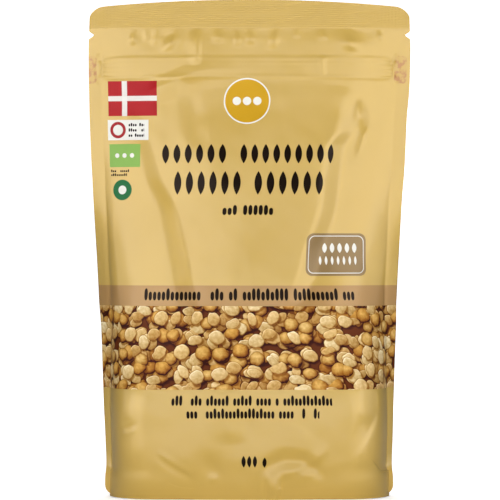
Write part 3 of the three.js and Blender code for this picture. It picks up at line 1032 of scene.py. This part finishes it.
def wall(name, side, coarse, material):
    """One printed wall of the pouch, from its lower edge to the top seal."""
    z = row_heights(coarse)[:, None]
    t = np.linspace(-1, 1, 2 * round(HALF_COLUMNS / coarse) + 1)[None, :]
    t, z = np.broadcast_arrays(t, z)
    outer = wall_points(side, t, z)
    inner = outer - (0, side * FILM, 0)
    flat = flat_map(outer, z[:, :1])
    unit = flat / (2 * FLAT_HALF, HEIGHT) + (0.5, 0)
    piece = shell(name, outer, inner, side > 0, flat, unit)
    dress(piece, material)
    return piece


class POUCH_OT_front(bpy.types.Operator):
    """Front wall with its print, folds, strip and seals"""

    bl_idname = "pouch.front"
    bl_label = "Front wall"

    def execute(self, context):
        colours = context.scene.pouch_colours
        wall("front_wall", -1, 1.0, film_material("printed laminate, satin", colours, print_front))
        return {"FINISHED"}


class POUCH_OT_back(bpy.types.Operator):
    """Back wall with its print, folds, strip and seals"""

    bl_idname = "pouch.back"
    bl_label = "Back wall"

    def execute(self, context):
        colours = context.scene.pouch_colours
        wall("back_wall", 1, 1.3, film_material("printed laminate, back", colours, print_back))
        return {"FINISHED"}


# How high the bottom fold is sealed to the skirts, and how high its middle hangs, at each x.
CEILING = [(0, 5), (28, 6), (40, 12), (48, 20), (53, 16), (57, 11.5), (66, 11)]
BELLY = [(0, 0.1), (30, 0.1), (40, 5), (48, 15), (53, 14), (57, 10), (66, 9.6)]
FOLD_HALF = 60.2
FOLD_FOOT = 0.3  # height of its lower edges
FOLD_GAP = 0.02  # between it and the skirts
ROOF_TURN = 1.2  # radians: rows crowd towards the skirts as sin does
FOLD_COLUMNS, SKIRT_ROWS, ROOF_ROWS = 120, 10, 31
FOLD_MAP = (120, 60)  # width and depth of its flat film


def bottom_fold_points():
    """The bottom fold: up inside the front skirt, over a belly that touches the table, and down.

    Rows run from the front to the back, columns from left to right.
    """
    x = np.linspace(-FOLD_HALF, FOLD_HALF, FOLD_COLUMNS)[None, :]
    ceiling, hang = along(CEILING, np.abs(x)), along(BELLY, np.abs(x))
    rise = np.linspace(0, 1, SKIRT_ROWS, endpoint=False)[:, None]
    skirt = []
    for side in (-1, 1):
        z = FOLD_FOOT + (ceiling - FOLD_FOOT) * rise
        xs = np.broadcast_to(x, z.shape)
        y = side * (wall_out(side, xs, z) - FILM - FOLD_GAP)
        skirt.append(np.stack([xs, y, z], -1))
    r = np.sin(np.linspace(-ROOF_TURN, ROOF_TURN, ROOF_ROWS))[:, None] / math.sin(ROOF_TURN)
    top = np.broadcast_to(ceiling, (ROOF_ROWS, FOLD_COLUMNS))
    xs = np.broadcast_to(x, top.shape)
    depth = np.where(r < 0, wall_out(-1, xs, top), wall_out(1, xs, top)) - FILM - FOLD_GAP
    z = hang + (ceiling - hang) * smooth(np.abs(r), 0.5, 0.95)
    roof = np.stack([xs, r * depth, z], -1)
    return np.concatenate([skirt[0], roof, skirt[1][::-1]])


class POUCH_OT_bottom(bpy.types.Operator):
    """Bottom fold between the two skirts"""

    bl_idname = "pouch.bottom"
    bl_label = "Bottom fold"

    def execute(self, context):
        colours = context.scene.pouch_colours
        outer = bottom_fold_points()
        rows, columns = outer.shape[:2]
        down = np.gradient(outer, axis=0)
        over = np.gradient(outer, axis=1)
        normal = np.cross(over, down)
        normal /= np.maximum(np.linalg.norm(normal, axis=2, keepdims=True), 1e-9)
        inner = outer + normal * FILM
        unit = np.stack(np.meshgrid(np.linspace(0, 1, columns), np.linspace(0, 1, rows)), -1)
        flat = (unit - (0.5, 0)) * FOLD_MAP
        piece = shell("bottom_fold", outer, inner, True, flat, unit)
        dress(piece, film_material("plain laminate, satin", colours))
        return {"FINISHED"}


CAMERA_ASIDE = 0.2  # how far the lens is to the right of the middle
# The backdrop, in metres: how far its floor is level, how steeply it rises beyond, and its reach.
FLOOR_LEVEL, FLOOR_RISE, FLOOR_REACH, FLOOR_POINTS = 1.8, 1.2, 3.4, 120


class POUCH_OT_stage(bpy.types.Operator):
    """Pale floor and backdrop, soft light and the camera"""

    bl_idname = "pouch.stage"
    bl_label = "Stage"

    def execute(self, context):
        settings = context.scene.pouch_stage
        self.backdrop()
        self.lights(context, settings)
        data = bpy.data.cameras.new("camera")
        data.sensor_width = 36
        low, high = self.framed(settings.distance)
        data.lens = data.sensor_width * settings.distance / (high - low)
        camera = bpy.data.objects.new("camera", data)
        camera.location = (CAMERA_ASIDE * MM, -settings.distance, (low + high) / 2)
        camera.rotation_euler = (math.pi / 2, 0, 0)
        context.scene.collection.objects.link(camera)
        context.scene.camera = camera
        context.scene.view_settings.view_transform = "Standard"
        return {"FINISHED"}

    def framed(self, distance):
        """Lowest and highest height, in the seal plane, of a frame that just holds the pouch."""
        middle = HEIGHT * MM / 2
        fronts = [wall_out(-1, np.zeros(1), np.full(1, z))[0] * MM for z in (0.0, HEIGHT)]
        return (-middle * fronts[0] / distance, HEIGHT * MM + middle * fronts[1] / distance)

    def backdrop(self):
        """A level floor that rises all round like a bowl, by the square of the way beyond it."""
        run = np.linspace(-FLOOR_REACH, FLOOR_REACH, FLOOR_POINTS)
        x, y = np.meshgrid(run, run)
        z = FLOOR_RISE * np.maximum(np.hypot(x, y) - FLOOR_LEVEL, 0) ** 2
        mesh = bpy.data.meshes.new("backdrop")
        points = np.stack([x, y, z], -1).reshape(-1, 3)
        mesh.from_pydata(points.tolist(), [], grid_faces(FLOOR_POINTS, FLOOR_POINTS).tolist())
        mesh.polygons.foreach_set("use_smooth", [True] * len(mesh.polygons))
        mesh.materials.append(self.paper())
        floor = bpy.data.objects.new("backdrop", mesh)
        bpy.context.scene.collection.objects.link(floor)

    def paper(self):
        """Matt white paper. What the camera sees of it glows, so that it stays white all over.

        To gleams it is painted dark grey, like a black sheet in front of the pouch, so that the
        gold stays rich.
        """
        paper = bpy.data.materials.new("matt studio paper")
        paper.use_nodes = True
        tree = paper.node_tree
        add = node_adder(tree)
        shader = tree.nodes["Principled BSDF"]
        path = add("LightPath").outputs
        # Painted darkness: glossy rays see the paper as dark grey, so the pouch reflects shade and
        # not white paper.
        white, gleam_grey = rgba(linear("#f4f4f4")), rgba(linear("#787878"))
        tone = add("Mix", path["Is Glossy Ray"], white, gleam_grey, data_type="RGBA")
        tree.links.new(tone.outputs["Result"], shader.inputs["Base Color"])
        shader.inputs["Roughness"].default_value = 0.9
        shader.inputs["Emission Color"].default_value = (1, 1, 1, 1)
        space = add("TexCoord").outputs["Object"]
        far = add("VectorMath", space, operation="LENGTH").outputs["Value"]
        # The glow is weaker near the middle, 0.5 at 0.15 m out to 0.95 at 1.3 m, so that the
        # pouch's shadow on the floor still shows.
        level = add("MapRange", far, 0.15, 1.3, 0.5, 0.95)
        glow = add("Math", level, path["Is Camera Ray"], operation="MULTIPLY")
        tree.links.new(glow.outputs[0], shader.inputs["Emission Strength"])
        return paper

    def lights(self, context, settings):
        """Broad light that gives no gleams, and softboxes that show as gleams alone."""
        aim = Vector((0, 0, 0.11))
        boxes = {
            "key_light": ((0.0, -1.45, 0.42), (1.4, 0.8), settings.key_light, True, False),
            "left_softbox": ((-0.85, -0.9, 0.3), (1.0, 0.7), settings.side_light, False, True),
            "right_softbox": ((0.85, -0.9, 0.3), (1.0, 0.7), settings.side_light, False, True),
            "left_wing": ((-1.25, -0.25, 0.3), (0.9, 0.8), settings.wing_light, False, True),
            "right_wing": ((1.25, -0.25, 0.3), (0.9, 0.8), settings.wing_light, False, True),
            "gleam_softbox": ((0.0, -1.6, 0.25), (0.9, 0.5), settings.gleam_light, False, True),
            "back_light": ((0.0, 1.0, 1.1), (1.0, 0.4), settings.back_light, True, True),
        }
        for name, (place, size, power, spread, gleam) in boxes.items():
            data = bpy.data.lights.new(name, "AREA")
            data.shape = "RECTANGLE"
            data.size, data.size_y = size
            data.energy = power
            light = bpy.data.objects.new(name, data)
            light.visible_diffuse = spread
            light.visible_glossy = gleam
            light.location = place
            light.rotation_euler = (Vector(place) - aim).to_track_quat("Z", "Y").to_euler()
            context.scene.collection.objects.link(light)
        world = bpy.data.worlds.new("even light")
        world.use_nodes = True
        world.node_tree.nodes["Background"].inputs["Strength"].default_value = settings.sky
        world.node_tree.nodes["Background"].inputs["Color"].default_value = (1, 1, 1, 1)
        context.scene.world = world


class POUCH_PT_panel(bpy.types.Panel):
    """Lists the pouch's pieces and settings."""

    bl_label = "Split Pea Pouch"
    bl_idname = "POUCH_PT_panel"
    bl_space_type = "VIEW_3D"
    bl_region_type = "UI"
    bl_category = "Pouch"

    def draw(self, context):
        for group in (context.scene.pouch_colours, context.scene.pouch_stage):
            for name in group.__annotations__:
                self.layout.prop(group, name)
        for operator in OPERATORS:
            self.layout.operator(operator.bl_idname)


OPERATORS = (POUCH_OT_front, POUCH_OT_back, POUCH_OT_bottom, POUCH_OT_stage)
CLASSES = (PouchColours, StageSettings, *OPERATORS, POUCH_PT_panel)


def register():
    for cls in CLASSES:
        bpy.utils.register_class(cls)
    bpy.types.Scene.pouch_colours = PointerProperty(type=PouchColours)
    bpy.types.Scene.pouch_stage = PointerProperty(type=StageSettings)


def unregister():
    del bpy.types.Scene.pouch_stage
    del bpy.types.Scene.pouch_colours
    for cls in reversed(CLASSES):
        bpy.utils.unregister_class(cls)


def main():
    register()
    bpy.ops.pouch.stage()
    bpy.ops.pouch.front()
    bpy.ops.pouch.back()
    bpy.ops.pouch.bottom()


if __name__ == "__main__":
    main()
